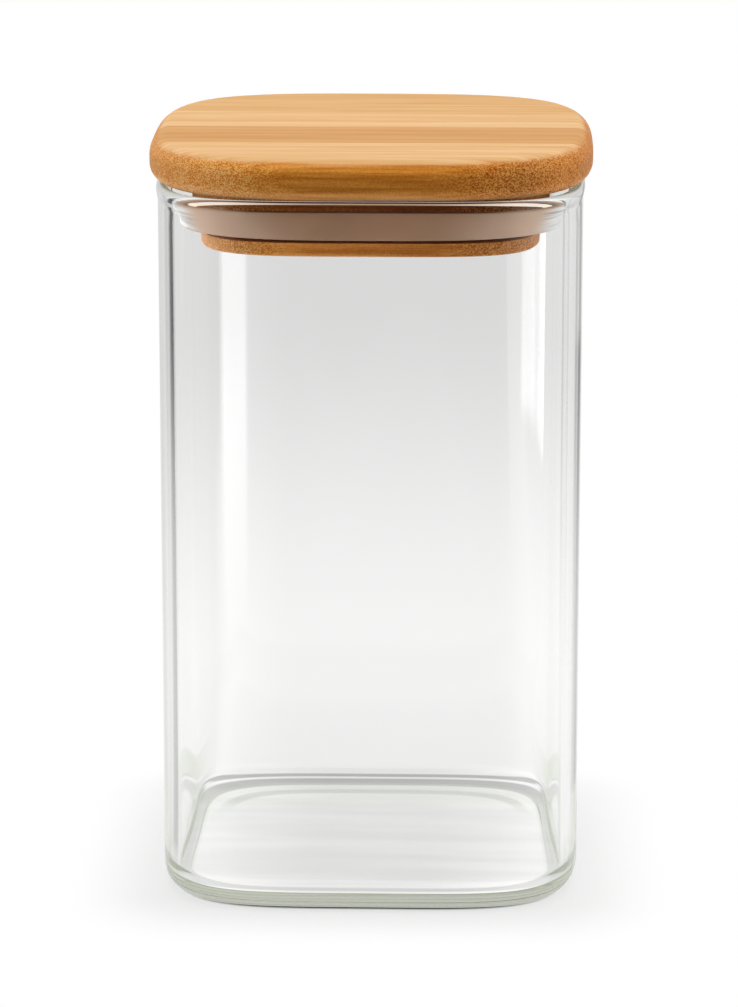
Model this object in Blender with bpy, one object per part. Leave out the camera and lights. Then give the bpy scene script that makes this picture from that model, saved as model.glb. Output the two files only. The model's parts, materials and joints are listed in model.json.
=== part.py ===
"""A square glass storage jar with a bamboo lid, drawn shut.

Metres, +Z up. The origin is the middle of the jar's underside.
The jar is one piece of glass. The lid is a board of bamboo strips glued side by side.
Under it a second, smaller board of strips is the plug that drops into the mouth.
A silicone seal sits in the groove round the plug, and its upturned lip wipes the glass.
"""

import math

import bmesh
import bpy
from mathutils import Matrix, Vector

# Clearances
FIT_GAP = 0.0003
GLUE_LINE = 0.0003
SEAL_CLEARANCE = 0.0003

# Glass jar
JAR_WIDTH = 0.1000
JAR_SQUARENESS = 4.3
GLASS_HEIGHT = 0.1701
WALL = 0.0026
FLOOR = 0.0031
BASE_EDGE_RADIUS = 0.0045
FLOOR_FILLET = 0.0045
RIM_BULGE = 0.0004
RIM_BULGE_HEIGHT = 0.0030

# Lid board
LID_OVERHANG = 0.0023
LID_SQUARENESS = 3.3
LID_THICKNESS = 0.0094
LID_TOP_EDGE_RADIUS = 0.0043
LID_LOWER_EDGE_RADIUS = 0.0033
LID_FRONT_STRIP = 0.0268
LID_BACK_STRIP = 0.0091
LID_MIDDLE_STRIP_COUNT = 3

# Plug board, from its lower face upwards
PLUG_INSET = 0.0069
PLUG_SQUARENESS = 4.3
FLANGE_THICKNESS = 0.0032
GROOVE_HEIGHT = 0.0063
GROOVE_DEPTH = 0.0035
LAND_HEIGHT = 0.0048
LAND_OVERHANG = 0.0016
PLUG_EDGE_RADIUS = 0.0006
PLUG_EDGE_STRIP = 0.0172
PLUG_MIDDLE_STRIP_COUNT = 2

# Silicone seal
SEAL_BAND_THICKNESS = 0.0018
SEAL_WEB_THICKNESS = 0.0013
SEAL_LIP_THICKNESS = 0.0010
SEAL_LIP_HEIGHT = 0.0069
SEAL_LIP_LIFT = 0.0018
SEAL_LIP_ROUND = 0.0005
SEAL_FOOT_SQUARENESS = 3.2

# Fineness of the solids
OUTLINE_POINTS = 80
EDGE_STEPS = 5
BEAD_STEPS = 6
SMALL_EDGE_STEPS = 2
SEAL_FOOT_STEPS = 3
SEAL_TIP_STEPS = 4
SLAB_MARGIN = 0.005
SMOOTH_ANGLE = math.radians(35)

# Colours
GLASS_COLOUR = (0.95, 0.98, 0.96)
GLASS_IOR = 1.47
SILICONE_COLOUR = (0.72, 0.66, 0.58)
BAMBOO_COLOUR = (0.72, 0.43, 0.18)
STRIP_TONES = (1.00, 0.86, 0.98, 0.92, 0.90)

# Places that follow from the sizes above
JAR_HALF = JAR_WIDTH / 2
LID_HALF = JAR_HALF + LID_OVERHANG
LID_UNDERSIDE = GLASS_HEIGHT + FIT_GAP
LID_TOP = LID_UNDERSIDE + LID_THICKNESS
PLUG_HALF = JAR_HALF - WALL - PLUG_INSET
PLUG_TOP = LID_UNDERSIDE - GLUE_LINE
GROOVE_TOP = PLUG_TOP - LAND_HEIGHT
FLANGE_TOP = GROOVE_TOP - GROOVE_HEIGHT
PLUG_BOTTOM = FLANGE_TOP - FLANGE_THICKNESS
LIP_BOTTOM = FLANGE_TOP + SEAL_LIP_LIFT


def clear_scene():
    for obj in list(bpy.data.objects):
        bpy.data.objects.remove(obj, do_unlink=True)


def new_collection(name):
    collection = bpy.data.collections.new(name)
    bpy.context.scene.collection.children.link(collection)
    return collection


def outline(half_width, squareness, inset=0.0):
    """Points round a square with bowed sides and full corners, moved in square to its edge by inset."""
    points = []
    for step in range(OUTLINE_POINTS):
        angle = math.tau * step / OUTLINE_POINTS
        across = math.cos(angle)
        along = math.sin(angle)
        spread = abs(across) ** squareness + abs(along) ** squareness
        reach = half_width / spread ** (1 / squareness)
        outward = Vector((
            math.copysign(abs(across) ** (squareness - 1), across),
            math.copysign(abs(along) ** (squareness - 1), along),
        )).normalized()
        points.append(Vector((reach * across, reach * along)) - outward * inset)
    return points


def jar_outline(inset):
    return outline(JAR_HALF, JAR_SQUARENESS, inset)


def lid_outline(inset):
    return outline(LID_HALF, LID_SQUARENESS, inset)


def plug_outline(inset):
    return outline(PLUG_HALF, PLUG_SQUARENESS, inset)


def foot_outline(inset):
    """The foot of the seal's lip: as wide as its tip at the sides, but rounder at the corners."""
    return outline(JAR_HALF, SEAL_FOOT_SQUARENESS, inset)


def arc(centre, radius, start, end, steps):
    """Points (inset, height) on an arc about centre, from the start angle to the end angle in degrees.

    At 0 degrees the point lies inwards of the centre, and at 90 degrees above it."""
    points = []
    for step in range(steps + 1):
        angle = math.radians(start + (end - start) * step / steps)
        inset = centre[0] + radius * math.cos(angle)
        height = centre[1] + radius * math.sin(angle)
        points.append((inset, height))
    return points


def loft(name, sections, ring=False):
    """A solid skinned over sections, each one an outline and its height.

    Its two ends are capped, or with ring set the last section joins the first."""
    bm = bmesh.new()
    loops = []
    for points, height in sections:
        loops.append([bm.verts.new((point.x, point.y, height)) for point in points])
    followers = loops[1:] + loops[:1] if ring else loops[1:]
    for loop, follower in zip(loops, followers):
        for here in range(OUTLINE_POINTS):
            there = (here + 1) % OUTLINE_POINTS
            bm.faces.new((loop[here], loop[there], follower[there], follower[here]))
    if not ring:
        bm.faces.new(loops[0])
        bm.faces.new(loops[-1])
    bmesh.ops.recalc_face_normals(bm, faces=bm.faces)
    mesh = bpy.data.meshes.new(name)
    bm.to_mesh(mesh)
    bm.free()
    mesh.shade_smooth()
    mesh.set_sharp_from_angle(angle=SMOOTH_ANGLE)
    return mesh


def add_object(name, mesh, collection, material=None):
    obj = bpy.data.objects.new(name, mesh)
    collection.objects.link(obj)
    if material:
        mesh.materials.append(material)
    return obj


def new_material(name, colour, roughness):
    material = bpy.data.materials.new(name)
    material.use_nodes = True
    shader = material.node_tree.nodes["Principled BSDF"]
    shader.inputs["Base Color"].default_value = (*colour, 1.0)
    shader.inputs["Roughness"].default_value = roughness
    shader.inputs["Metallic"].default_value = 0.0
    return material, shader


def glass_material():
    material, shader = new_material("clear_glass", GLASS_COLOUR, 0.0)
    shader.inputs["Transmission Weight"].default_value = 1.0
    shader.inputs["IOR"].default_value = GLASS_IOR
    return material


def silicone_material():
    material, shader = new_material("translucent_silicone", SILICONE_COLOUR, 0.4)
    shader.inputs["Transmission Weight"].default_value = 0.4
    return material


def bamboo_material(name, tone):
    colour = tuple(channel * tone for channel in BAMBOO_COLOUR)
    material, _ = new_material(name, colour, 0.5)
    return material


def jar_sections():
    """The glass from the middle of its underside, out and up to the rim, and down inside to the floor."""
    lip_radius = (WALL + RIM_BULGE) / 2
    lip_centre = (WALL - lip_radius, GLASS_HEIGHT - lip_radius)
    bulge_start = lip_centre[1] - RIM_BULGE_HEIGHT
    profile = arc((BASE_EDGE_RADIUS, BASE_EDGE_RADIUS), BASE_EDGE_RADIUS, 270, 180, EDGE_STEPS)
    for step in range(BEAD_STEPS):
        share = step / BEAD_STEPS
        swell = RIM_BULGE * (1 - math.cos(math.pi * share)) / 2
        profile.append((-swell, bulge_start + RIM_BULGE_HEIGHT * share))
    profile += arc(lip_centre, lip_radius, 180, 0, BEAD_STEPS)
    floor_centre = (WALL + FLOOR_FILLET, FLOOR + FLOOR_FILLET)
    profile += arc(floor_centre, FLOOR_FILLET, 180, 270, EDGE_STEPS)
    return [(jar_outline(inset), height) for inset, height in profile]


def make_jar(collection):
    mesh = loft("glass_jar", jar_sections())
    return add_object("glass_jar", mesh, collection, glass_material())


def lid_sections():
    """The lid board from its underside to its top, with both edges rounded."""
    lower = LID_LOWER_EDGE_RADIUS
    upper = LID_TOP_EDGE_RADIUS
    profile = arc((lower, LID_UNDERSIDE + lower), lower, 270, 180, EDGE_STEPS)
    profile += arc((upper, LID_TOP - upper), upper, 180, 90, EDGE_STEPS)
    return [(lid_outline(inset), height) for inset, height in profile]


def plug_sections():
    """The plug board from its underside to its top: flange, groove for the seal, and wider land."""
    radius = PLUG_EDGE_RADIUS
    profile = arc((radius, PLUG_BOTTOM + radius), radius, 270, 180, SMALL_EDGE_STEPS)
    profile += [
        (0.0, FLANGE_TOP),
        (GROOVE_DEPTH, FLANGE_TOP),
        (GROOVE_DEPTH, GROOVE_TOP),
        (-LAND_OVERHANG, GROOVE_TOP),
        (-LAND_OVERHANG, PLUG_TOP),
    ]
    return [(plug_outline(inset), height) for inset, height in profile]


def seams(half_width, front_strip, back_strip, middle_strips):
    """Places of the glue lines across a board, with equal strips between the front and the back one."""
    first = front_strip - half_width
    pitch = (half_width - back_strip - first) / middle_strips
    return [first + pitch * count for count in range(middle_strips + 1)]


def make_slab(name, front, back, half_width, bottom, top, cutters):
    """A block that spans a board from side to side and from front to back of one strip."""
    size = (2 * (half_width + SLAB_MARGIN), back - front, top - bottom + 2 * SLAB_MARGIN)
    centre = Vector((0.0, (front + back) / 2, (bottom + top) / 2))
    bm = bmesh.new()
    place = Matrix.Translation(centre) @ Matrix.Diagonal((*size, 1.0))
    bmesh.ops.create_cube(bm, size=1.0, matrix=place)
    mesh = bpy.data.meshes.new(name)
    bm.to_mesh(mesh)
    bm.free()
    slab = add_object(name, mesh, cutters)
    slab.hide_render = True
    slab.display_type = "WIRE"
    return slab


def make_board(name, sections, half_width, lines, collection, cutters):
    """The strips of one board, front to back, each the whole board cut down to its own slab."""
    fronts = [-half_width - SLAB_MARGIN] + [line + GLUE_LINE / 2 for line in lines]
    backs = [line - GLUE_LINE / 2 for line in lines] + [half_width + SLAB_MARGIN]
    bottom = sections[0][1]
    top = sections[-1][1]
    strips = []
    for number, (front, back) in enumerate(zip(fronts, backs), start=1):
        strip_name = f"{name}_strip_{number}"
        tone = STRIP_TONES[(number - 1) % len(STRIP_TONES)]
        material = bamboo_material(f"{strip_name}_bamboo", tone)
        strip = add_object(strip_name, loft(strip_name, sections), collection, material)
        slab = make_slab(f"{strip_name}_slab", front, back, half_width, bottom, top, cutters)
        cut = strip.modifiers.new("strip", "BOOLEAN")
        cut.operation = "INTERSECT"
        cut.object = slab
        strips.append(strip)
    return strips


def seal_sections():
    """The seal's section, once round: band in the groove, web over the flange, and lip at the glass."""
    lip_face = WALL + SEAL_CLEARANCE
    lip_back = lip_face + SEAL_LIP_THICKNESS
    band_face = GROOVE_DEPTH - FIT_GAP
    band_front = band_face - SEAL_BAND_THICKNESS
    band_bottom = FLANGE_TOP + FIT_GAP
    band_top = GROOVE_TOP - FIT_GAP
    lip_top = LIP_BOTTOM + SEAL_LIP_HEIGHT
    edge = SEAL_LIP_ROUND
    foot = arc((lip_face + edge, LIP_BOTTOM + edge), edge, 270, 180, SEAL_FOOT_STEPS)
    tip_radius = SEAL_LIP_THICKNESS / 2
    tip = arc((lip_face + tip_radius, lip_top - tip_radius), tip_radius, 180, 0, SEAL_TIP_STEPS)
    sections = [(plug_outline(band_face), band_bottom)]
    sections += [(foot_outline(inset), height) for inset, height in foot]
    sections += [(jar_outline(inset), height) for inset, height in tip]
    sections.append((foot_outline(lip_back), LIP_BOTTOM + SEAL_WEB_THICKNESS))
    sections.append((plug_outline(band_front), band_bottom + SEAL_WEB_THICKNESS))
    sections.append((plug_outline(band_front), band_top))
    sections.append((plug_outline(band_face), band_top))
    return sections


def make_seal(collection):
    mesh = loft("silicone_seal", seal_sections(), ring=True)
    return add_object("silicone_seal", mesh, collection, silicone_material())


def add_lift_axis(collection):
    """An empty on the line along which the lid lifts off, at the height of the rim."""
    axis = bpy.data.objects.new("lid_lift_axis", None)
    axis.location = (0.0, 0.0, GLASS_HEIGHT)
    collection.objects.link(axis)
    return axis


def ride_on(axis, pieces):
    for piece in pieces:
        piece.parent = axis
        piece.matrix_parent_inverse = Matrix.Translation(axis.location).inverted()


def main():
    clear_scene()
    jar_parts = new_collection("glass_storage_jar")
    cutters = new_collection("cutters")
    make_jar(jar_parts)
    lid_seams = seams(LID_HALF, LID_FRONT_STRIP, LID_BACK_STRIP, LID_MIDDLE_STRIP_COUNT)
    lid_strips = make_board("lid", lid_sections(), LID_HALF, lid_seams, jar_parts, cutters)
    plug_seams = seams(PLUG_HALF, PLUG_EDGE_STRIP, PLUG_EDGE_STRIP, PLUG_MIDDLE_STRIP_COUNT)
    plug_strips = make_board("plug", plug_sections(), PLUG_HALF, plug_seams, jar_parts, cutters)
    seal = make_seal(jar_parts)
    axis = add_lift_axis(jar_parts)
    ride_on(axis, lid_strips + plug_strips + [seal])


main()
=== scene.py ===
import json
import math

import bmesh
import bpy
from mathutils import Euler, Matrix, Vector


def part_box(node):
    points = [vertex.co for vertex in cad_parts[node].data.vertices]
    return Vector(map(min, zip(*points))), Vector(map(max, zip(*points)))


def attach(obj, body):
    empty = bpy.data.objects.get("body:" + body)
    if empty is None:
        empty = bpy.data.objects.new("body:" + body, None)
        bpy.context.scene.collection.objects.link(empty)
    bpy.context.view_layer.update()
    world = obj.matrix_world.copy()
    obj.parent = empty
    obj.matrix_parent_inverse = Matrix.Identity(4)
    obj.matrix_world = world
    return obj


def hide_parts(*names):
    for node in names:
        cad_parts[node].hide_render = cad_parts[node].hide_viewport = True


# The looks of a square glass storage jar with a bamboo lid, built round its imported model.
# Metres, +Z up, in the model's own frame: the front faces -Y, and the bamboo's grain runs along X.
# Where a pair of numbers is a span, a change starts at the first and is full at the second.
# Whole-number colours are as the eye reads them, from 0 to 255.

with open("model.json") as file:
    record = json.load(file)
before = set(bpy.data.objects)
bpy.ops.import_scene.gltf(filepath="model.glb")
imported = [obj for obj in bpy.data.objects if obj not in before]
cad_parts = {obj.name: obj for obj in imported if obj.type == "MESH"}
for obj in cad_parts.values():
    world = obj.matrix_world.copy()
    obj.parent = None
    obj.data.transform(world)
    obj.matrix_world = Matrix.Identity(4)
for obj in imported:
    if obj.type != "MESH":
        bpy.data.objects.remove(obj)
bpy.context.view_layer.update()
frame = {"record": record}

# Shape of the glass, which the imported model's boxes don't say
JAR_SQUARENESS = 4.3
WALL = 0.0026
FLOOR = 0.0031
BASE_EDGE_RADIUS = 0.0045
FLOOR_FILLET = 0.0045
RIM_BULGE = 0.0004
RIM_BULGE_HEIGHT = 0.0030

# Shape of the lid board
LID_SQUARENESS = 3.3
LID_TOP_EDGE_RADIUS = 0.0043
LID_LOWER_EDGE_RADIUS = 0.0033
LID_STRIPS = 5

# Shape of the plug board
PLUG_SQUARENESS = 4.3
FLANGE_THICKNESS = 0.0032
GROOVE_HEIGHT = 0.0063
GROOVE_DEPTH = 0.0035
LAND_OVERHANG = 0.0016
PLUG_EDGE_RADIUS = 0.0006
PLUG_STRIPS = 4

# Shape of the seal
SEAL_FIT = 0.0003
SEAL_BAND_THICKNESS = 0.0018
SEAL_WEB_THICKNESS = 0.0013
SEAL_LIP_THICKNESS = 0.0010
SEAL_LIP_LIFT = 0.0018
SEAL_LIP_ROUND = 0.0005
SEAL_FOOT_SQUARENESS = 3.2

# Fineness of the visible meshes and of their patterns
OUTLINE_POINTS = 288
EDGE_STEPS = 14
SMALL_EDGE_STEPS = 5
TIP_STEPS = 8
WALL_STEPS = 24
LID_SIDE_STEPS = 3
SMOOTH_ANGLE = math.radians(40)
SEAM_GAP = 0.00002
CUT_TOLERANCE = 1e-7
FINE_DETAIL = 1.0
NOISE_MIDDLE = 0.5

# Glass, its shadow, and how many times light may turn inside it
GLASS_IOR = 1.47
GLASS_TINT = (0.72, 0.75, 0.65, 1.0)
GLASS_TINT_DENSITY = 10.0
GLASS_SHADOW = (0.95, 0.95, 0.95, 1.0)
LIGHT_BOUNCES = 24

# Light trapped in the walls: how many turns end it, and the painted glow it ends in at the rim, left and
# right
TRAP_DEPTH = 8.5
TRAP_RIM = 0.72
TRAP_LEFT = 0.68
TRAP_RIGHT = 0.35
TRAP_SIDES = (-0.03, 0.03)
RIM_ZONE = (0.125, 0.135)
WALL_ZONE = (0.016, 0.022)

# Light trapped in the base, which ends in a painted glow: in its lowest part, and in the edge just above
# that, and the glow's hue
BASE_DEPTH = 6.5
BASE_EDGE_DEPTH = 3.5
BASE_LIGHT = 0.47
BASE_EDGE_LIGHT = 0.74
BASE_GLOW_HUE = (0.96, 1.0, 0.86, 1.0)
BASE_EDGE_RISE = (0.0034, 0.0042)
BASE_GLOW_TOP = (0.012, 0.016)
BASE_ZONE = (0.010, 0.012)

# Silicone: its tones, and the spans of turning and of place that bring them in. The brown front is painted
# shade for the wood and dark groove behind it, the pale corners are painted light, and the dark top of the
# lip is painted shade
SILICONE_FRONT = (213, 166, 132)
SILICONE_CORNER = (230, 195, 168)
SILICONE_EDGE = (214, 180, 150)
SILICONE_TOP_SHADE = (120, 78, 48)
# Grey and white wisps where the seal turns sideways: painted streaks of light and shade
SILICONE_SHADE = (150, 152, 150)
SILICONE_WHITE = (252, 253, 252)
SILICONE_TIP = 0.0007
SILICONE_TURN = (0.0, 0.25)
SILICONE_ROUGHNESS = 0.4
SILICONE_SHINE = 0.3
TOPSIDE_FACING = (0.2, 0.7)
TOPSIDE_WIDTH = (0.024, 0.036)
WISP_SCALE = (40.0, 40.0, 900.0)
WISP_STEP = (0.35, 0.60)
WISP_TURN = (0.60, 0.88)
CLOUD_SCALE = (60.0, 60.0, 60.0)
CLOUD_STEP = (0.35, 0.65)
CLOUD_TONES = (0.95, 1.04)

# Painted glow on the silicone's inner faces, for the light that the thick rim gathers there
GLOW_WARM = (1.0, 0.68, 0.44, 1.0)
GLOW_PALE = (1.0, 0.88, 0.74, 1.0)
GLOW_GAP = (0.70, 0.74, 0.72, 1.0)
GLOW_CENTRE = 0.45
GLOW_CORNER = 0.95
GLOW_SPREAD = (0.010, 0.045)
GLOW_HUE_SPREAD = (0.0, 0.04)
LIP_INSIDE = (0.0450, 0.0457)
GAP_CORNER = (0.040, 0.044)
INWARD = -0.002

# Bamboo: where a surface counts as the flat face, the long side or the end grain
FLAT_FACING = (0.72, 0.95)
END_TURN = (0.04, 0.45)
MIDDLE_TURN = (0.02, 0.22)
RAGGED_SCALE = (26.0, 520.0, 520.0)
RAGGED_TURN = (0.02, 0.25)
RAGGED_MIDDLE = 0.55
RAGGED_END = 0.10
# Painted light and shade by facing: downward faces lighter and paler, as the white floor's painted
# reflection, and the upper rounding darker, as painted shade
UNDER_FACING = (-0.75, 0.05)
UNDER_LIGHT = 1.40
UNDER_PALE_FACING = (-0.75, -0.05)
UNDER_PALE = 0.25
ROUND_FACING = (0.30, 0.75)
ROUND_SHADE = 0.95

# Bamboo: bands and streaks along the grain
BAND_SCALE = (5.0, 280.0, 280.0)
BAND_DARK = (0.945, 0.91, 0.84, 1.0)
BAND_LIGHT = (1.025, 1.05, 1.11, 1.0)
STREAK_SCALE = (24.0, 1000.0, 1000.0)
STREAK_DETAIL = 3.0
STREAK_ROUGHNESS = 0.6
STREAK_STEP = (0.32, 0.68)
STREAK_DARK = (0.82, 0.70, 0.45, 1.0)
STREAK_LIGHT = (1.17, 1.32, 1.75, 1.0)
STREAK_FACE = 0.40
STREAK_MIDDLE = 1.00
STREAK_END = 0.35

# Bamboo: cut fibres as fine flecks, and pores in the end grain on the right
FIBRE_SCALE = (2200.0, 4600.0, 3000.0)
FLECK_STEP = (0.42, 0.58)
# The flecks are cut fibres; their set on the right is darker as painted shade at that end
FLECK_RIGHT = (-0.015, 0.020)
FLECK_DARK_LEFT = (0.86, 0.64, 0.42, 1.0)
FLECK_LIGHT_LEFT = (1.16, 1.70, 3.00, 1.0)
FLECK_DARK_RIGHT = (0.72, 0.52, 0.27, 1.0)
FLECK_LIGHT_RIGHT = (1.24, 1.45, 2.00, 1.0)
FLECK_MIDDLE = 0.25
FLECK_END = 1.00
PORE_SCALE = (700.0, 1000.0, 1000.0)
PORE_SIZE = (0.16, 0.36)
PORE_TURN = (0.03, 0.25)
PORE_RIGHT = (0.010, 0.028)
PORE_TONE = (0.66, 0.45, 0.22, 1.0)

# Bamboo: painted light and shade, the long side lighter to the left and darker to the right, between the
# corners, and the plug darker to the right
SIDE_LEFT = 1.15
SIDE_RIGHT = 0.90
SIDE_LEFT_SPAN = (-0.032, -0.012)
SIDE_RIGHT_SPAN = (0.026, 0.040)
SIDE_CORNER = (0.037, 0.044)
RIGHT_SHADE_SPAN = (-0.030, 0.030)
BAMBOO_ROUGHNESS = 0.5
BAMBOO_SHINE = 0.2
BAMBOO = {
    "bamboo_pale": {"face": (222, 175, 116), "side": (219, 136, 42), "end": (208, 134, 56), "seed": 1.7},
    "bamboo_warm": {"face": (206, 150, 85), "side": (212, 130, 40), "end": (207, 133, 55), "seed": 5.3},
    "bamboo_honey": {"face": (216, 166, 104), "side": (212, 130, 40), "end": (207, 133, 55), "seed": 9.1},
    # The plug's tones are raised as painted light against the lid's shade that it sits in behind the
    # glass, and it is darkened to the right as painted shade
    "bamboo_plug": {
        "face": (210, 146, 80), "side": (251, 160, 60), "end": (226, 151, 71), "seed": 12.9,
        "right_shade": 0.74, "side_share": 0.0,
    },
}

# The floor as the camera sees it: white, with a soft shadow and a thin line of painted contact shadow
FLOOR_SIZE = 12.0
FLOOR_DROP = 0.0002
FLOOR_PAINT = (0.97, 0.97, 0.97, 1.0)
FLOOR_GLOW = 0.92
FLOOR_BOUNCE = (0.45, 0.45, 0.45, 1.0)
GLOW_SHARE = 0.60
BODY_HALF = 0.04
SHADOW_END = (0.006, 0.034)
CONTACT_SHADOW_EDGE = (0.0458, 0.0478)

# The floor under the jar, as seen through the glass, in painted light: soft streaks, and dark rings at its
# edge as painted shade
INNER_END = (0.012, 0.034)
INNER_GLOW = 0.91
INNER_SIDE = 1.05
INNER_SPAN = (0.010, 0.038)
OUTSIDE = 0.82
OUTSIDE_SPAN = (0.044, 0.052)
INNER_STREAK_SCALE = (11.0, 100.0, 1.0)
INNER_STREAK_STEP = (0.35, 0.65)
INNER_STREAK_TONES = (0.94, 1.04)
BACK_LINE = 0.0549
BACK_LINE_EDGE = (0.0006, 0.0016)
BACK_RING = 0.0486
BACK_RING_EDGE = (0.0028, 0.0042)
RING_SPAN = (0.020, 0.045)
SIDE_RING_DARK = 0.25
BACK_RING_DARK = 0.45
INNER_ARC = 0.0395
INNER_ARC_EDGE = (0.0008, 0.0024)
INNER_ARC_SPAN = (0.020, 0.034)
INNER_ARC_DARK = 0.25

# The floor behind the jar, as seen through the glass, in painted light: its fall-off with distance, and
# painted shade close to the jar
FLOOR_NEAR = 1.01
FLOOR_FAR = 0.755
FLOOR_FALL = (0.10, 0.70)
CLOSE_SHADE = 0.93
CLOSE_SPAN = (0.06, 0.20)
SIDE_GAIN = 1.04
SIDE_GAIN_SPAN = (0.1, 0.4)

# Lanes of painted light and shade on that floor: they fan out from LANE_START, each at its own slope of
# across over along
LANE_START = (0.0304, -1.0966)
LEFT_LANE = 1.06
LEFT_LANE_SPAN = (-0.062, -0.044)
LEFT_EDGE = (-0.084, -0.072)
LEFT_EDGE_SHIFT = 0.010
LEFT_DARK = 0.12
LEFT_DARK_NEAR = 0.10
LEFT_NEAR_SPAN = (0.15, 0.40)
RIGHT_LANE = 0.08
RIGHT_LANE_START = (0.0068, 0.0086)
RIGHT_LANE_END = (0.020, 0.026)
RIGHT_LANE_DISTANCE = (0.20, 0.60)

# Painted shade in the floor's light where dark flags would stand behind the jar, by azimuth from its
# front, for the lines at the glass's edges; painted shade ahead of it, and trapped light painted lighter
# on the left and darker on the right
EDGE_OFFSET = 0.0535
LEFT_FLAG_RISE = (math.radians(124), math.radians(132.5))
LEFT_FLAG_FADE = (math.radians(137.5), math.radians(146))
LEFT_FLAG_NEAR = 0.45
LEFT_FLAG_DISTANCE = (0.28, 0.72)
RIGHT_LINE = math.radians(127.9)
RIGHT_LINE_EDGE = (math.radians(1.2), math.radians(3.6))
RIGHT_FLAG = math.radians(165.5)
RIGHT_FLAG_EDGE = (math.radians(3), math.radians(6))
RIGHT_FLAG_DEPTH = 0.65
RIGHT_FLAG_NEAR = 0.20
RIGHT_FLAG_DISTANCE = (0.20, 0.60)
FRONT_SPAN = (math.radians(20), math.radians(60))
FRONT_DEPTH = 0.95
TRAPPED_LEFT = 1.10
TRAPPED_RIGHT = 0.30
TRAPPED_SPAN = (-0.1, 0.1)

# Painted bright pads in the floor's light, for the bands that the far walls mirror: azimuths, and the
# distances of their rise
PADS = (
    (math.radians(31), math.radians(76), (0.05, 0.45)),
    (math.radians(-153), math.radians(-58), (0.36, 0.44)),
)
PAD_EDGE = math.radians(3)
PAD_LIGHT = 3.1

# Counts of mirrorings and of glass faces passed, between which light is told apart
ONCE = (0.5, 1.5)
FEW_WALLS = 2.5
MANY_WALLS = 3.5
TRAPPED_TURNS = 3.5

# The room: brightness overhead and in front, as glass mirrors it, and what falls on the rest
ROOM_TOP = 0.95
ROOM_HEIGHT = (0.0, 0.6)
ROOM_FRONT = 0.15
ROOM_FRONT_SPAN = (-0.75, -0.35)
AMBIENT = 0.30

# Lamps: radiance of their faces, sizes and places
LAMP_AIM = (0.0, 0.0, 0.09)
TOP_BOX_PLACE = (0.0, 0.15, 1.25)
TOP_BOX_SIZE = (0.9, 0.9)
TOP_BOX_RADIANCE = 4.0
SIDE_BOXES = (("left_softbox", math.radians(-82), 6.6), ("right_softbox", math.radians(82), 5.4))
SIDE_BOX_DISTANCE = 0.95
SIDE_BOX_HEIGHT = 0.40
SIDE_BOX_SIZE = (0.3, 0.8)

# The photograph's frame and the camera that fits it
IMAGE_WIDTH = 738
IMAGE_HEIGHT = 1007
FOCAL_PIXELS = 4664.9
SENSOR = 36.0
CAMERA_PLACE = (0.0304, -1.0966, 0.3587)
CAMERA_DOWN = 0.2426
CAMERA_TURN = 0.0285
CAMERA_CLIP = (0.01, 60.0)

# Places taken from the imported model
jar_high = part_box("glass_jar")[1]
JAR_HALF = jar_high.x - RIM_BULGE
GLASS_HEIGHT = jar_high.z
lid_low, lid_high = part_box("lid_strip_2")
LID_HALF = lid_high.x
plug_low, plug_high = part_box("plug_strip_2")
PLUG_HALF = plug_high.x - LAND_OVERHANG
FLANGE_TOP = plug_low.z + FLANGE_THICKNESS
GROOVE_TOP = FLANGE_TOP + GROOVE_HEIGHT
LIP_BOTTOM = FLANGE_TOP + SEAL_LIP_LIFT
LIP_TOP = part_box("silicone_seal")[1].z

BLACK = (0.0, 0.0, 0.0, 1.0)
WHITE = (1.0, 1.0, 1.0, 1.0)


def outline(half_width, squareness, inset=0.0):
    """Points round a square with bowed sides and full corners, moved in square to its edge by inset."""
    points = []
    for step in range(OUTLINE_POINTS):
        angle = math.tau * step / OUTLINE_POINTS
        across = math.cos(angle)
        along = math.sin(angle)
        spread = abs(across) ** squareness + abs(along) ** squareness
        reach = half_width / spread ** (1 / squareness)
        outward = Vector((
            math.copysign(abs(across) ** (squareness - 1), across),
            math.copysign(abs(along) ** (squareness - 1), along),
        )).normalized()
        points.append(Vector((reach * across, reach * along)) - outward * inset)
    return points


def jar_outline(inset):
    return outline(JAR_HALF, JAR_SQUARENESS, inset)


def lid_outline(inset):
    return outline(LID_HALF, LID_SQUARENESS, inset)


def plug_outline(inset):
    return outline(PLUG_HALF, PLUG_SQUARENESS, inset)


def foot_outline(inset):
    """The foot of the seal's lip: as wide as its tip at the sides, but rounder at the corners."""
    return outline(JAR_HALF, SEAL_FOOT_SQUARENESS, inset)


def arc(centre, radius, start, end, steps=EDGE_STEPS):
    """Points (inset, height) on an arc about centre, from the start angle to the end angle in degrees."""
    points = []
    for step in range(steps + 1):
        angle = math.radians(start + (end - start) * step / steps)
        points.append((centre[0] + radius * math.cos(angle), centre[1] + radius * math.sin(angle)))
    return points


def line(start, end, steps):
    """Points between start and end, without the two themselves."""
    points = []
    for step in range(1, steps):
        share = step / steps
        points.append((start[0] + (end[0] - start[0]) * share, start[1] + (end[1] - start[1]) * share))
    return points


def loft(sections, ring=False):
    """A closed skin over sections, each one an outline and its height, with its ends capped or joined."""
    bm = bmesh.new()
    loops = []
    for points, height in sections:
        loops.append([bm.verts.new((point.x, point.y, height)) for point in points])
    followers = loops[1:] + loops[:1] if ring else loops[1:]
    for loop, follower in zip(loops, followers):
        for here in range(OUTLINE_POINTS):
            there = (here + 1) % OUTLINE_POINTS
            bm.faces.new((loop[here], loop[there], follower[there], follower[here]))
    if not ring:
        bm.faces.new(loops[0])
        bm.faces.new(loops[-1])
    bmesh.ops.recalc_face_normals(bm, faces=bm.faces)
    return bm


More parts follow.
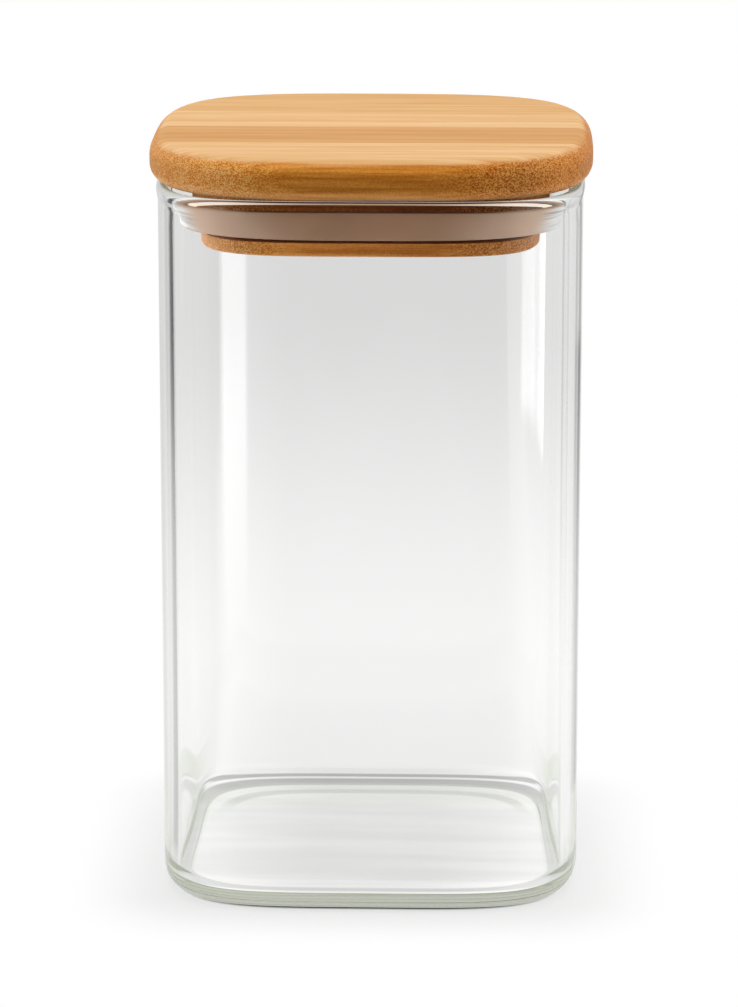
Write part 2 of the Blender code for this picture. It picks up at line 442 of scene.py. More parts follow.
def add_piece(name, bm, body, node, material):
    """Puts a finished mesh in the scene, on its body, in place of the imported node."""
    mesh = bpy.data.meshes.new(name)
    bm.to_mesh(mesh)
    bm.free()
    mesh.shade_smooth()
    mesh.set_sharp_from_angle(angle=SMOOTH_ANGLE)
    mesh.materials.append(material)
    obj = bpy.data.objects.new(name, mesh)
    bpy.context.scene.collection.objects.link(obj)
    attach(obj, body)
    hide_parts(node)


def jar_sections():
    """The glass from its underside, round and up to the rim, and down inside to the floor."""
    lip_radius = (WALL + RIM_BULGE) / 2
    lip_centre = (WALL - lip_radius, GLASS_HEIGHT - lip_radius)
    bulge_start = lip_centre[1] - RIM_BULGE_HEIGHT
    profile = arc((BASE_EDGE_RADIUS, BASE_EDGE_RADIUS), BASE_EDGE_RADIUS, 270, 180)
    profile += line((0.0, BASE_EDGE_RADIUS), (0.0, bulge_start), WALL_STEPS)
    for step in range(EDGE_STEPS):
        share = step / EDGE_STEPS
        swell = RIM_BULGE * (1 - math.cos(math.pi * share)) / 2
        profile.append((-swell, bulge_start + RIM_BULGE_HEIGHT * share))
    profile += arc(lip_centre, lip_radius, 180, 0)
    floor_centre = (WALL + FLOOR_FILLET, FLOOR + FLOOR_FILLET)
    profile += line((WALL, lip_centre[1]), (WALL, floor_centre[1]), WALL_STEPS)
    profile += arc(floor_centre, FLOOR_FILLET, 180, 270)
    return [(jar_outline(inset), height) for inset, height in profile]


def lid_sections():
    lower = LID_LOWER_EDGE_RADIUS
    upper = LID_TOP_EDGE_RADIUS
    profile = arc((lower, lid_low.z + lower), lower, 270, 180)
    profile += line((0.0, lid_low.z + lower), (0.0, lid_high.z - upper), LID_SIDE_STEPS)
    profile += arc((upper, lid_high.z - upper), upper, 180, 90)
    return [(lid_outline(inset), height) for inset, height in profile]


def plug_sections():
    radius = PLUG_EDGE_RADIUS
    profile = arc((radius, plug_low.z + radius), radius, 270, 180, SMALL_EDGE_STEPS)
    profile += [
        (0.0, FLANGE_TOP),
        (GROOVE_DEPTH, FLANGE_TOP),
        (GROOVE_DEPTH, GROOVE_TOP),
        (-LAND_OVERHANG, GROOVE_TOP),
        (-LAND_OVERHANG, plug_high.z),
    ]
    return [(plug_outline(inset), height) for inset, height in profile]


def seal_sections():
    """The seal's section, once round: band in the groove, web over the flange, and lip at the glass."""
    lip_face = WALL + SEAL_FIT
    lip_back = lip_face + SEAL_LIP_THICKNESS
    band_face = GROOVE_DEPTH - SEAL_FIT
    band_front = band_face - SEAL_BAND_THICKNESS
    band_bottom = FLANGE_TOP + SEAL_FIT
    band_top = GROOVE_TOP - SEAL_FIT
    edge = SEAL_LIP_ROUND
    tip_radius = SEAL_LIP_THICKNESS / 2
    foot = arc((lip_face + edge, LIP_BOTTOM + edge), edge, 270, 180, SMALL_EDGE_STEPS)
    tip = arc((lip_face + tip_radius, LIP_TOP - tip_radius), tip_radius, 180, 0, TIP_STEPS)
    sections = [(plug_outline(band_face), band_bottom)]
    sections += [(foot_outline(inset), height) for inset, height in foot]
    sections += [(jar_outline(inset), height) for inset, height in tip]
    sections.append((foot_outline(lip_back), LIP_BOTTOM + SEAL_WEB_THICKNESS))
    sections.append((plug_outline(band_front), band_bottom + SEAL_WEB_THICKNESS))
    sections.append((plug_outline(band_front), band_top))
    sections.append((plug_outline(band_face), band_top))
    return sections


class Nodes:
    """Short ways to add shader nodes to one material and to link them."""

    def __init__(self, tree):
        self.tree = tree

    def add(self, kind, **settings):
        node = self.tree.nodes.new(kind)
        for name, value in settings.items():
            setattr(node, name, value)
        return node

    def feed(self, socket, value):
        """Links value to socket if it is an output, and otherwise sets it there."""
        if isinstance(value, bpy.types.NodeSocket):
            self.tree.links.new(value, socket)
        else:
            socket.default_value = value

    def math(self, operation, first, second=0.0, clamp=False):
        node = self.add("ShaderNodeMath", operation=operation, use_clamp=clamp)
        self.feed(node.inputs[0], first)
        self.feed(node.inputs[1], second)
        return node.outputs[0]

    def product(self, *values):
        result = values[0]
        for value in values[1:]:
            result = self.math("MULTIPLY", result, value)
        return result

    def magnitude(self, value):
        """The value without its sign."""
        return self.math("ABSOLUTE", value)

    def apart(self, value, centre):
        """How far the value lies from centre, either way."""
        return self.magnitude(self.math("SUBTRACT", value, centre))

    def rest(self, share):
        """What share leaves of 1."""
        return self.math("SUBTRACT", 1.0, share)

    def smooth(self, value, span, start=0.0, end=1.0):
        """A soft step from start to end while value goes through span."""
        node = self.add("ShaderNodeMapRange", interpolation_type="SMOOTHSTEP")
        self.feed(node.inputs["Value"], value)
        self.feed(node.inputs["From Min"], span[0])
        self.feed(node.inputs["From Max"], span[1])
        self.feed(node.inputs["To Min"], start)
        self.feed(node.inputs["To Max"], end)
        return node.outputs[0]

    def fade(self, value, span, start=1.0):
        """A soft step from start down to 0 while value goes through span."""
        return self.smooth(value, span, start, 0.0)

    def mix(self, share, first, second, blend="MIX"):
        """A colour between two, by share."""
        node = self.add("ShaderNodeMix", data_type="RGBA", blend_type=blend)
        colours = [socket for socket in node.inputs if socket.type == "RGBA"]
        self.feed(node.inputs[0], share)
        self.feed(colours[0], first)
        self.feed(colours[1], second)
        return next(socket for socket in node.outputs if socket.type == "RGBA")

    def tint(self, colour, factor, share=1.0):
        """The colour multiplied by a factor, as far as share says."""
        return self.mix(share, colour, factor, "MULTIPLY")

    def length(self, first, second):
        squares = self.math("ADD", self.product(first, first), self.product(second, second))
        return self.math("SQRT", squares)

    def reach(self, across, along, squareness):
        """Half the width of the bowed square that goes through a place, round the middle."""
        sides = self.math("POWER", self.magnitude(across), squareness)
        ends = self.math("POWER", self.magnitude(along), squareness)
        return self.math("POWER", self.math("ADD", sides, ends), 1 / squareness)

    def shader_mix(self, share, first, second):
        node = self.add("ShaderNodeMixShader")
        self.feed(node.inputs[0], share)
        self.feed(node.inputs[1], first)
        self.feed(node.inputs[2], second)
        return node.outputs[0]

    def source(self, kind, strength):
        """Light of its own, from a node of the kind Emission or Background."""
        node = self.add(f"ShaderNode{kind}")
        self.feed(node.inputs["Strength"], strength)
        return node.outputs[0]

    def place(self, scale, offset=(0.0, 0.0, 0.0)):
        """The piece's own coordinates, scaled by (x, y, z) and moved by offset."""
        coordinates = self.add("ShaderNodeTexCoord")
        mapping = self.add("ShaderNodeMapping")
        mapping.inputs["Scale"].default_value = scale
        mapping.inputs["Location"].default_value = offset
        self.feed(mapping.inputs["Vector"], coordinates.outputs["Object"])
        return mapping.outputs["Vector"]

    def normal(self, axis):
        """The surface normal's share along an axis, from -1 to 1."""
        geometry = self.add("ShaderNodeNewGeometry")
        parts = self.add("ShaderNodeSeparateXYZ")
        self.feed(parts.inputs[0], geometry.outputs["Normal"])
        return parts.outputs[axis]

    def facing(self, axis):
        """How much the surface faces along an axis, either way, from 0 to 1."""
        return self.magnitude(self.normal(axis))

    def coordinate(self, axis):
        """The piece's own coordinate along an axis, in metres."""
        coordinates = self.add("ShaderNodeTexCoord")
        parts = self.add("ShaderNodeSeparateXYZ")
        self.feed(parts.inputs[0], coordinates.outputs["Object"])
        return parts.outputs[axis]

    def noise(self, vector, detail=2.0, roughness=0.5):
        node = self.add("ShaderNodeTexNoise")
        node.inputs["Scale"].default_value = 1.0
        node.inputs["Detail"].default_value = detail
        node.inputs["Roughness"].default_value = roughness
        self.feed(node.inputs["Vector"], vector)
        return node.outputs["Fac"]

    def cells(self, vector):
        """Distance to the nearest of many scattered points."""
        node = self.add("ShaderNodeTexVoronoi")
        node.inputs["Scale"].default_value = 1.0
        self.feed(node.inputs["Vector"], vector)
        return node.outputs["Distance"]


def new_material(name):
    """A material with only an output node, its node helper and that output."""
    material = bpy.data.materials.new(name)
    material.use_nodes = True
    tree = material.node_tree
    tree.nodes.clear()
    output = tree.nodes.new("ShaderNodeOutputMaterial")
    return material, Nodes(tree), output


def rgb(colour):
    """A colour as the eye reads it, from 0 to 255 a channel, in the linear values that shaders take."""
    channels = []
    for value in colour:
        share = value / 255
        channels.append(share / 12.92 if share <= 0.04045 else ((share + 0.055) / 1.055) ** 2.4)
    return (*channels, 1.0)


def glass_material():
    """Clear glass with a trace of tint. Light that it traps ends as a soft painted glow, not as black."""
    material, nodes, output = new_material("clear_glass")
    glass = nodes.add("ShaderNodeBsdfPrincipled")
    glass.inputs["Base Color"].default_value = WHITE
    glass.inputs["Roughness"].default_value = 0.0
    glass.inputs["IOR"].default_value = GLASS_IOR
    glass.inputs["Transmission Weight"].default_value = 1.0
    clear = nodes.add("ShaderNodeBsdfTransparent")
    clear.inputs["Color"].default_value = GLASS_SHADOW
    path = nodes.add("ShaderNodeLightPath")
    turns = path.outputs["Ray Depth"]
    height = nodes.coordinate("Z")

    # Painted glow for the trapped light: its strength in the base, the walls and at the rim, and its hue
    in_base = nodes.smooth(height, BASE_EDGE_RISE, BASE_LIGHT, BASE_EDGE_LIGHT)
    in_wall = nodes.smooth(nodes.coordinate("X"), TRAP_SIDES, TRAP_LEFT, TRAP_RIGHT)
    in_wall = nodes.smooth(height, RIM_ZONE, in_wall, TRAP_RIM)
    hue = nodes.mix(nodes.smooth(height, BASE_GLOW_TOP), BASE_GLOW_HUE, WHITE)
    trapped = nodes.add("ShaderNodeEmission")
    nodes.feed(trapped.inputs["Strength"], nodes.smooth(height, BASE_GLOW_TOP, in_base, in_wall))
    nodes.feed(trapped.inputs["Color"], hue)

    wall_deep = nodes.math("GREATER_THAN", turns, TRAP_DEPTH)
    wall_deep = nodes.product(wall_deep, nodes.smooth(height, WALL_ZONE))
    base_depth = nodes.smooth(height, BASE_EDGE_RISE, BASE_DEPTH, BASE_EDGE_DEPTH)
    base_deep = nodes.math("GREATER_THAN", turns, base_depth)
    base_deep = nodes.product(base_deep, nodes.fade(height, BASE_ZONE))
    deep = nodes.math("MAXIMUM", wall_deep, base_deep)
    body = nodes.shader_mix(deep, glass.outputs[0], trapped.outputs[0])
    seen = nodes.shader_mix(path.outputs["Is Shadow Ray"], body, clear.outputs[0])
    nodes.feed(output.inputs["Surface"], seen)
    tint = nodes.add("ShaderNodeVolumeAbsorption")
    tint.inputs["Color"].default_value = GLASS_TINT
    tint.inputs["Density"].default_value = GLASS_TINT_DENSITY
    nodes.feed(output.inputs["Volume"], tint.outputs[0])
    return material


def silicone_material():
    """Translucent silicone: brown where the dark groove shows through it, painted on as shade, and pale at
    its tip and, as painted light, at its corners.
    """
    material, nodes, output = new_material("silicone")
    across = nodes.coordinate("X")
    offset = nodes.magnitude(across)
    sideways = nodes.facing("X")
    # Painted shade at the front and painted light at the corners, by how far the surface turns sideways
    tone = nodes.mix(nodes.smooth(sideways, SILICONE_TURN), rgb(SILICONE_FRONT), rgb(SILICONE_CORNER))
    tip = nodes.smooth(nodes.coordinate("Z"), (LIP_TOP - SILICONE_TIP, LIP_TOP))
    tone = nodes.mix(tip, tone, rgb(SILICONE_EDGE))
    # Painted streaks of light and shade where the seal turns fully sideways
    wisps = nodes.noise(nodes.place(WISP_SCALE), FINE_DETAIL)
    glassy = nodes.mix(nodes.smooth(wisps, WISP_STEP), rgb(SILICONE_SHADE), rgb(SILICONE_WHITE))
    tone = nodes.mix(nodes.smooth(sideways, WISP_TURN), tone, glassy)
    # Painted shade on the top of the lip, which faces the dark gap under the lid
    shaded_top = nodes.product(tip, nodes.smooth(nodes.normal("Z"), TOPSIDE_FACING))
    shaded_top = nodes.product(shaded_top, nodes.fade(offset, TOPSIDE_WIDTH))
    tone = nodes.mix(shaded_top, tone, rgb(SILICONE_TOP_SHADE))
    cloudy = nodes.smooth(nodes.noise(nodes.place(CLOUD_SCALE)), CLOUD_STEP, *CLOUD_TONES)
    rubber = nodes.add("ShaderNodeBsdfPrincipled")
    nodes.feed(rubber.inputs["Base Color"], nodes.tint(tone, cloudy))
    rubber.inputs["Roughness"].default_value = SILICONE_ROUGHNESS
    rubber.inputs["Specular IOR Level"].default_value = SILICONE_SHINE

    # Painted glow on the inner faces, seen through the glass, and in the gap at the corners as the camera
    # sees it
    path = nodes.add("ShaderNodeLightPath")
    reach = nodes.reach(across, nodes.coordinate("Y"), SEAL_FOOT_SQUARENESS)
    within = nodes.fade(reach, LIP_INSIDE)
    outward = nodes.product(nodes.normal("X"), across)
    inner_face = nodes.math("MAXIMUM", within, nodes.math("LESS_THAN", outward, INWARD))
    in_gap = nodes.product(path.outputs["Is Camera Ray"], nodes.smooth(offset, GAP_CORNER))
    through = nodes.product(within, path.outputs["Is Transmission Ray"])
    gathered = nodes.math("MAXIMUM", through, nodes.product(inner_face, in_gap))
    glow = nodes.smooth(offset, GLOW_SPREAD, GLOW_CENTRE, GLOW_CORNER)
    hue = nodes.mix(nodes.smooth(offset, GLOW_HUE_SPREAD), GLOW_WARM, GLOW_PALE)
    hue = nodes.mix(path.outputs["Is Camera Ray"], hue, GLOW_GAP)
    nodes.feed(rubber.inputs["Emission Color"], hue)
    nodes.feed(rubber.inputs["Emission Strength"], nodes.product(gathered, glow))
    nodes.feed(output.inputs["Surface"], rubber.outputs[0])
    return material


def bamboo_material(name, face, side, end, seed, right_shade=1.0, side_share=1.0):
    """Bamboo with its long grain along X, in three tones: sanded face, long side and end grain.

    The fibres are a solid pattern stretched along X, so that the faces cut them as streaks or dots."""
    material, nodes, output = new_material(name)
    across = nodes.coordinate("X")
    turned = nodes.facing("X")
    upward = nodes.normal("Z")

    ragged = nodes.noise(nodes.place(RAGGED_SCALE, (0.0, seed, 0.0)))
    amount = nodes.smooth(turned, RAGGED_TURN, RAGGED_MIDDLE, RAGGED_END)
    shift = nodes.product(nodes.math("SUBTRACT", ragged, NOISE_MIDDLE), amount)
    flat = nodes.smooth(nodes.math("ADD", nodes.magnitude(upward), shift), FLAT_FACING)
    off_face = nodes.rest(flat)
    edge = nodes.mix(nodes.smooth(turned, END_TURN), rgb(side), rgb(end))
    # Painted reflection of the white floor on downward faces, painted light under the board and painted
    # shade on its upper rounding
    edge = nodes.mix(nodes.fade(upward, UNDER_PALE_FACING, UNDER_PALE), edge, rgb(face))
    under = nodes.smooth(upward, UNDER_FACING, UNDER_LIGHT, 1.0)
    over = nodes.smooth(upward, ROUND_FACING, 1.0, ROUND_SHADE)
    edge = nodes.tint(edge, nodes.product(under, over))
    base = nodes.mix(flat, edge, rgb(face))

    streaks = nodes.noise(nodes.place(STREAK_SCALE, (seed, 0.0, seed)), STREAK_DETAIL, STREAK_ROUGHNESS)
    streak = nodes.mix(nodes.smooth(streaks, STREAK_STEP), STREAK_DARK, STREAK_LIGHT)
    amount = nodes.product(nodes.smooth(turned, MIDDLE_TURN, STREAK_MIDDLE, STREAK_END), off_face)
    amount = nodes.math("ADD", amount, nodes.product(flat, STREAK_FACE))
    base = nodes.tint(base, streak, amount)

    fibres = nodes.noise(nodes.place(FIBRE_SCALE, (seed, 0.0, 0.0)), FINE_DETAIL)
    rightward = nodes.smooth(across, FLECK_RIGHT)
    dark = nodes.mix(rightward, FLECK_DARK_LEFT, FLECK_DARK_RIGHT)
    light = nodes.mix(rightward, FLECK_LIGHT_LEFT, FLECK_LIGHT_RIGHT)
    fleck = nodes.mix(nodes.smooth(fibres, FLECK_STEP), dark, light)
    amount = nodes.product(nodes.smooth(turned, MIDDLE_TURN, FLECK_MIDDLE, FLECK_END), off_face)
    base = nodes.tint(base, fleck, amount)

    pores = nodes.cells(nodes.place(PORE_SCALE, (seed, 0.0, 0.0)))
    cut_open = nodes.product(nodes.smooth(turned, PORE_TURN), off_face)
    dotted = nodes.product(nodes.smooth(across, PORE_RIGHT), cut_open)
    base = nodes.tint(base, PORE_TONE, nodes.product(nodes.fade(pores, PORE_SIZE), dotted))

    bands = nodes.noise(nodes.place(BAND_SCALE, (seed, seed, seed)))
    base = nodes.tint(base, nodes.mix(nodes.smooth(bands, STREAK_STEP), BAND_DARK, BAND_LIGHT))
    # Painted light on the left of the long side and painted shade on its right, then painted shade to the
    # right for the plug
    left_side = nodes.smooth(across, SIDE_LEFT_SPAN, SIDE_LEFT, 1.0)
    right_side = nodes.smooth(across, SIDE_RIGHT_SPAN, 1.0, SIDE_RIGHT)
    between = nodes.fade(nodes.magnitude(across), SIDE_CORNER, side_share)
    base = nodes.tint(base, nodes.product(left_side, right_side), nodes.product(off_face, between))
    base = nodes.tint(base, nodes.smooth(across, RIGHT_SHADE_SPAN, 1.0, right_shade))

    wood = nodes.add("ShaderNodeBsdfPrincipled")
    nodes.feed(wood.inputs["Base Color"], base)
    wood.inputs["Roughness"].default_value = BAMBOO_ROUGHNESS
    wood.inputs["Specular IOR Level"].default_value = BAMBOO_SHINE
    nodes.feed(output.inputs["Surface"], wood.outputs[0])
    return material


def board_strips(name, sections, count, materials, body):
    """The strips of a glued board, each the whole board cut down to its own part along Y."""
    for number in range(1, count + 1):
        node = f"{name}_strip_{number}"
        bm = loft(sections)
        if number > 1:
            front = (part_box(f"{name}_strip_{number - 1}")[1].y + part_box(node)[0].y) / 2
            trim(bm, front + SEAM_GAP / 2, -1)
        if number < count:
            back = (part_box(node)[1].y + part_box(f"{name}_strip_{number + 1}")[0].y) / 2
            trim(bm, back - SEAM_GAP / 2, 1)
        slot = next(p["material_slot"] for p in frame["record"]["subparts"] if p["node"] == node)
        add_piece(f"{name}_board_{number}", bm, body, node, materials[slot])


def trim(bm, place, side):
    """Cuts off what lies past place along Y, behind it for side 1 and before it for -1, and closes it."""
    cut = bmesh.ops.bisect_plane(
        bm,
        geom=bm.verts[:] + bm.edges[:] + bm.faces[:],
        dist=CUT_TOLERANCE,
        plane_co=(0.0, place, 0.0),
        plane_no=(0.0, side, 0.0),
        clear_outer=True,
    )
    edges = [item for item in cut["geom_cut"] if isinstance(item, bmesh.types.BMEdge)]
    bmesh.ops.edgeloop_fill(bm, edges=edges)
    bmesh.ops.recalc_face_normals(bm, faces=bm.faces)


def make_camera():
    data = bpy.data.cameras.new("camera")
    data.sensor_width = SENSOR
    data.lens = FOCAL_PIXELS * SENSOR / max(IMAGE_WIDTH, IMAGE_HEIGHT)
    camera = bpy.data.objects.new("camera", data)
    camera.location = CAMERA_PLACE
    camera.rotation_euler = Euler((math.pi / 2 - CAMERA_DOWN, 0.0, CAMERA_TURN))
    data.clip_start, data.clip_end = CAMERA_CLIP
    bpy.context.scene.collection.objects.link(camera)
    bpy.context.scene.camera = camera


def bent_light(nodes, path):
    """1 for light that was mirrored or let through just before it gets here, and 0 for the rest."""
    return nodes.math("MAXIMUM", path.outputs["Is Glossy Ray"], path.outputs["Is Transmission Ray"])


def mirrored_once(nodes, path):
    """1 for light that just one surface has mirrored on its way to the eye, and 0 for the rest."""
    some = nodes.math("GREATER_THAN", path.outputs["Glossy Depth"], ONCE[0])
    few = nodes.math("LESS_THAN", path.outputs["Glossy Depth"], ONCE[1])
    return nodes.product(some, few)


def painted_flags(nodes, path, place, azimuth, distance, light):
    """Dims the floor's light as painted shade where two dark flags would stand behind the jar, for what
    its edges turn aside just once.

    The edges of clear glass show as lines only where they pick up something dark. Such light leaves
    the jar beside its middle line, so its direction differs from its place's azimuth by a skew."""
    skew = nodes.math("ARCSINE", nodes.math("DIVIDE", EDGE_OFFSET, distance, clamp=True))
    turned = nodes.math("ADD", nodes.magnitude(azimuth), skew)
    on_right = nodes.math("GREATER_THAN", place, 0.0)
    left = nodes.product(
        nodes.smooth(turned, LEFT_FLAG_RISE),
        nodes.fade(turned, LEFT_FLAG_FADE),
        nodes.rest(on_right),
        nodes.smooth(distance, LEFT_FLAG_DISTANCE, LEFT_FLAG_NEAR, 1.0),
    )
    thin = nodes.fade(nodes.apart(turned, RIGHT_LINE), RIGHT_LINE_EDGE)
    wide = nodes.fade(nodes.apart(turned, RIGHT_FLAG), RIGHT_FLAG_EDGE, RIGHT_FLAG_DEPTH)
    right = nodes.product(
        nodes.math("ADD", thin, wide),
        on_right,
        nodes.smooth(distance, RIGHT_FLAG_DISTANCE, RIGHT_FLAG_NEAR, 1.0),
    )
    # Painted shade ahead of the jar too, for glass that mirrors once
    ahead = nodes.fade(nodes.magnitude(azimuth), FRONT_SPAN, FRONT_DEPTH)
    simple = nodes.math("LESS_THAN", path.outputs["Transmission Depth"], FEW_WALLS)
    bounced = nodes.product(mirrored_once(nodes, path), simple)
    shade = nodes.product(nodes.math("MAXIMUM", nodes.math("ADD", left, right), ahead), bounced)
    # For light mirrored many times: painted light on the left and painted shade on the right
    trapped = nodes.math("GREATER_THAN", path.outputs["Glossy Depth"], TRAPPED_TURNS)
    side_light = nodes.smooth(place, TRAPPED_SPAN, TRAPPED_LEFT, TRAPPED_RIGHT)
    shade = nodes.math("ADD", shade, nodes.product(trapped, nodes.rest(side_light)))
    return nodes.product(light, nodes.rest(shade))


def painted_pads(nodes, path, azimuth, distance, light):
    """Adds two bright pads of painted light, right and left of the jar, for what its far walls mirror."""
    deep = nodes.math("GREATER_THAN", path.outputs["Transmission Depth"], MANY_WALLS)
    mirrored = nodes.product(mirrored_once(nodes, path), deep)
    for low, high, rise in PADS:
        share = nodes.product(
            nodes.smooth(azimuth, (low - PAD_EDGE, low + PAD_EDGE)),
            nodes.fade(azimuth, (high - PAD_EDGE, high + PAD_EDGE)),
            nodes.smooth(distance, rise),
        )
        light = nodes.math("ADD", light, nodes.product(share, mirrored, PAD_LIGHT))
    return light


def plain_floor(nodes, reach, clear_of_jar):
    """The floor as the camera sees it: white, with the jar's soft shadow and a thin line of painted
    contact shadow.
    """
    # Painted contact shadow: paint and glow go to black at the jar's foot
    contact = nodes.smooth(reach, CONTACT_SHADOW_EDGE)
    paint = nodes.add("ShaderNodeBsdfDiffuse")
    nodes.feed(paint.inputs["Color"], nodes.mix(contact, BLACK, FLOOR_PAINT))
    glow = nodes.source("Emission", nodes.product(contact, FLOOR_GLOW))
    lit = nodes.shader_mix(GLOW_SHARE, paint.outputs[0], glow)
    white = nodes.source("Emission", 1.0)
    return nodes.shader_mix(nodes.smooth(clear_of_jar, SHADOW_END), lit, white)


def inner_floor(nodes, reach, offset, along):
    """The painted light of the floor under the jar: soft streaks, and dark lines of painted shade along
    its edge.
    """
    sideways = nodes.smooth(offset, INNER_SPAN, INNER_GLOW, INNER_SIDE)
    sideways = nodes.product(sideways, nodes.smooth(offset, OUTSIDE_SPAN, 1.0, OUTSIDE))
    thin = nodes.fade(nodes.apart(reach, BACK_LINE), BACK_LINE_EDGE)
    wide = nodes.fade(nodes.apart(reach, BACK_RING), BACK_RING_EDGE)
    ring_depth = nodes.smooth(along, RING_SPAN, SIDE_RING_DARK, BACK_RING_DARK)
    ring = nodes.product(nodes.math("MAXIMUM", thin, wide), ring_depth)
    arc_line = nodes.fade(nodes.apart(reach, INNER_ARC), INNER_ARC_EDGE)
    arc_line = nodes.product(arc_line, nodes.smooth(along, INNER_ARC_SPAN, 0.0, INNER_ARC_DARK))
    light = nodes.product(nodes.rest(nodes.math("MAXIMUM", ring, arc_line)), sideways)
    streaks = nodes.noise(nodes.place(INNER_STREAK_SCALE))
    return nodes.product(light, nodes.smooth(streaks, INNER_STREAK_STEP, *INNER_STREAK_TONES))


def far_floor(nodes, across, along, offset, distance):
    """The painted light of the floor behind the jar: its fall-off with distance, and its lanes of painted
    light and shade.
    """
    light = nodes.product(
        nodes.smooth(distance, FLOOR_FALL, FLOOR_NEAR, FLOOR_FAR),
        nodes.smooth(distance, CLOSE_SPAN, CLOSE_SHADE, 1.0),
        nodes.smooth(offset, SIDE_GAIN_SPAN, 1.0, SIDE_GAIN),
    )
    lane_across = nodes.math("SUBTRACT", across, LANE_START[0])
    lane_along = nodes.math("SUBTRACT", along, LANE_START[1])
    lane = nodes.math("DIVIDE", lane_across, lane_along)
    left_edge = nodes.math("SUBTRACT", lane, nodes.fade(distance, LEFT_NEAR_SPAN, LEFT_EDGE_SHIFT))
    left_depth = nodes.smooth(distance, LEFT_NEAR_SPAN, LEFT_DARK_NEAR, LEFT_DARK)
    left_dark = nodes.product(nodes.fade(left_edge, LEFT_EDGE), left_depth)
    left_lane = nodes.smooth(lane, LEFT_LANE_SPAN, LEFT_LANE, 1.0)
    right_lane = nodes.product(
        nodes.smooth(lane, RIGHT_LANE_START),
        nodes.fade(lane, RIGHT_LANE_END),
        nodes.smooth(distance, RIGHT_LANE_DISTANCE, 0.0, RIGHT_LANE),
    )
    return nodes.product(light, nodes.rest(left_dark), left_lane, nodes.math("ADD", right_lane, 1.0))


def floor_material():
    """A floor that is plain for the camera, has painted light and shade for the glass, and is muted for
    the rest.
    """
    material, nodes, output = new_material("studio_floor")
    path = nodes.add("ShaderNodeLightPath")
    across = nodes.coordinate("X")
    along = nodes.coordinate("Y")
    offset = nodes.magnitude(across)
    distance = nodes.length(across, along)
    reach = nodes.reach(across, along, JAR_SQUARENESS)
    beside = nodes.math("MAXIMUM", nodes.math("SUBTRACT", offset, BODY_HALF), 0.0)
    beyond = nodes.math("MAXIMUM", nodes.math("SUBTRACT", nodes.magnitude(along), BODY_HALF), 0.0)
    clear_of_jar = nodes.length(beside, beyond)

    inside = nodes.source("Emission", inner_floor(nodes, reach, offset, along))
    azimuth = nodes.math("ARCTAN2", across, nodes.math("MULTIPLY", along, -1.0))
    light = far_floor(nodes, across, along, offset, distance)
    light = painted_flags(nodes, path, across, azimuth, distance, light)
    light = painted_pads(nodes, path, azimuth, distance, light)
    behind = nodes.source("Emission", light)
    for_glass = nodes.shader_mix(nodes.smooth(clear_of_jar, INNER_END), inside, behind)

    muted = nodes.add("ShaderNodeBsdfDiffuse")
    muted.inputs["Color"].default_value = FLOOR_BOUNCE
    bent = bent_light(nodes, path)
    shown = nodes.math("MAXIMUM", bent, path.outputs["Is Camera Ray"])
    view = nodes.shader_mix(bent, plain_floor(nodes, reach, clear_of_jar), for_glass)
    nodes.feed(output.inputs["Surface"], nodes.shader_mix(shown, muted.outputs[0], view))
    return material


def make_floor():
    bm = bmesh.new()
    bmesh.ops.create_grid(bm, x_segments=1, y_segments=1, size=FLOOR_SIZE)
    mesh = bpy.data.meshes.new("studio_floor")
    bm.to_mesh(mesh)
    bm.free()
    mesh.materials.append(floor_material())
    floor = bpy.data.objects.new("studio_floor", mesh)
    floor.location.z = -FLOOR_DROP
    bpy.context.scene.collection.objects.link(floor)


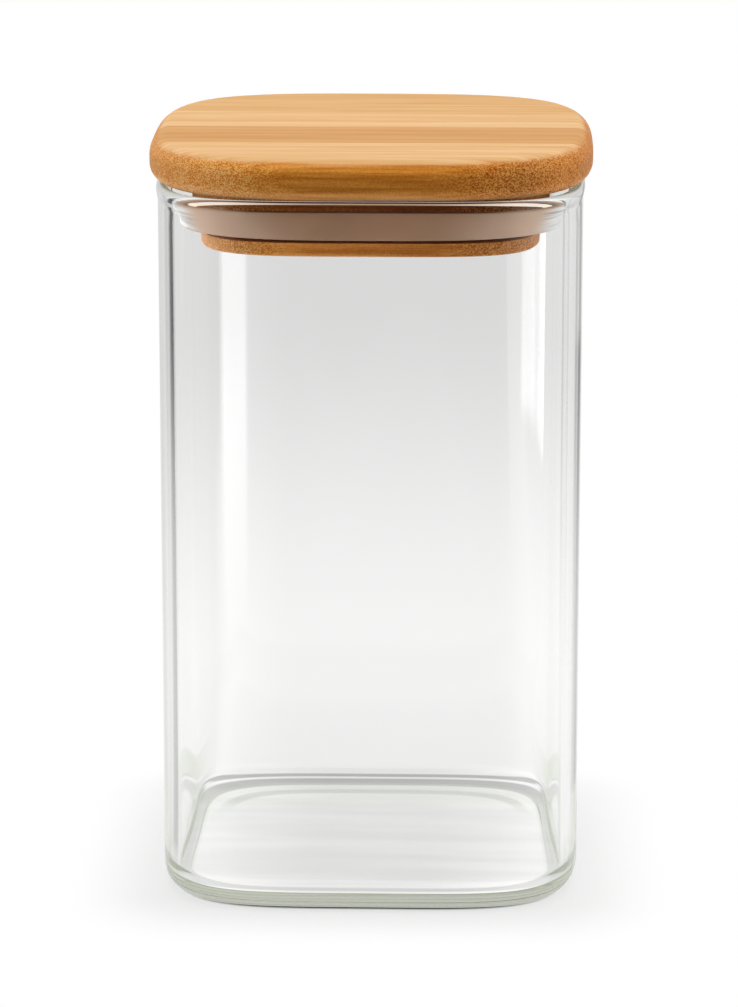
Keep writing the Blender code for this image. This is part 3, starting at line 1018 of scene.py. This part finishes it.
def make_world():
    """White for the camera, a room that is darker in front for the glass, and soft light for the rest."""
    world = bpy.data.worlds.new("studio_world")
    world.use_nodes = True
    world.node_tree.nodes.clear()
    nodes = Nodes(world.node_tree)
    output = nodes.add("ShaderNodeOutputWorld")
    coordinates = nodes.add("ShaderNodeTexCoord")
    direction = nodes.add("ShaderNodeSeparateXYZ")
    nodes.feed(direction.inputs[0], coordinates.outputs["Generated"])
    height = nodes.smooth(direction.outputs["Z"], ROOM_HEIGHT, FLOOR_FAR, ROOM_TOP)
    front = nodes.smooth(direction.outputs["Y"], ROOM_FRONT_SPAN, ROOM_FRONT, 1.0)
    room = nodes.source("Background", nodes.product(height, front))
    ambient = nodes.source("Background", AMBIENT)
    white = nodes.source("Background", 1.0)
    path = nodes.add("ShaderNodeLightPath")
    soft = nodes.shader_mix(bent_light(nodes, path), ambient, room)
    nodes.feed(output.inputs["Surface"], nodes.shader_mix(path.outputs["Is Camera Ray"], soft, white))
    bpy.context.scene.world = world


def add_softbox(name, place, size, radiance):
    """A rectangular lamp aimed at the jar, with its brightness given as the radiance of its face."""
    data = bpy.data.lights.new(name, "AREA")
    data.shape = "RECTANGLE"
    data.size, data.size_y = size
    data.energy = radiance * math.pi * size[0] * size[1]
    lamp = bpy.data.objects.new(name, data)
    lamp.location = place
    towards = Vector(LAMP_AIM) - Vector(place)
    lamp.rotation_euler = towards.to_track_quat("-Z", "Y").to_euler()
    lamp.visible_camera = False
    lamp.visible_glossy = False
    lamp.visible_transmission = False
    bpy.context.scene.collection.objects.link(lamp)


def make_lights():
    add_softbox("top_softbox", TOP_BOX_PLACE, TOP_BOX_SIZE, TOP_BOX_RADIANCE)
    for name, azimuth, radiance in SIDE_BOXES:
        across = SIDE_BOX_DISTANCE * math.sin(azimuth)
        along = -SIDE_BOX_DISTANCE * math.cos(azimuth)
        add_softbox(name, (across, along, SIDE_BOX_HEIGHT), SIDE_BOX_SIZE, radiance)


def allow_bounces():
    """Light goes back and forth inside glass many times before it leaves."""
    cycles = bpy.context.scene.cycles
    cycles.max_bounces = LIGHT_BOUNCES
    cycles.glossy_bounces = LIGHT_BOUNCES
    cycles.transmission_bounces = LIGHT_BOUNCES
    cycles.transparent_max_bounces = LIGHT_BOUNCES


bamboo = {name: bamboo_material(name, **looks) for name, looks in BAMBOO.items()}
allow_bounces()
make_camera()
make_floor()
make_world()
make_lights()
add_piece("jar_glass", loft(jar_sections()), "jar", "glass_jar", glass_material())
board_strips("lid", lid_sections(), LID_STRIPS, bamboo, "lid")
board_strips("plug", plug_sections(), PLUG_STRIPS, bamboo, "lid")
seal = loft(seal_sections(), ring=True)
add_piece("seal_ring", seal, "lid", "silicone_seal", silicone_material())

bpy.context.scene.view_settings.view_transform = "Standard"
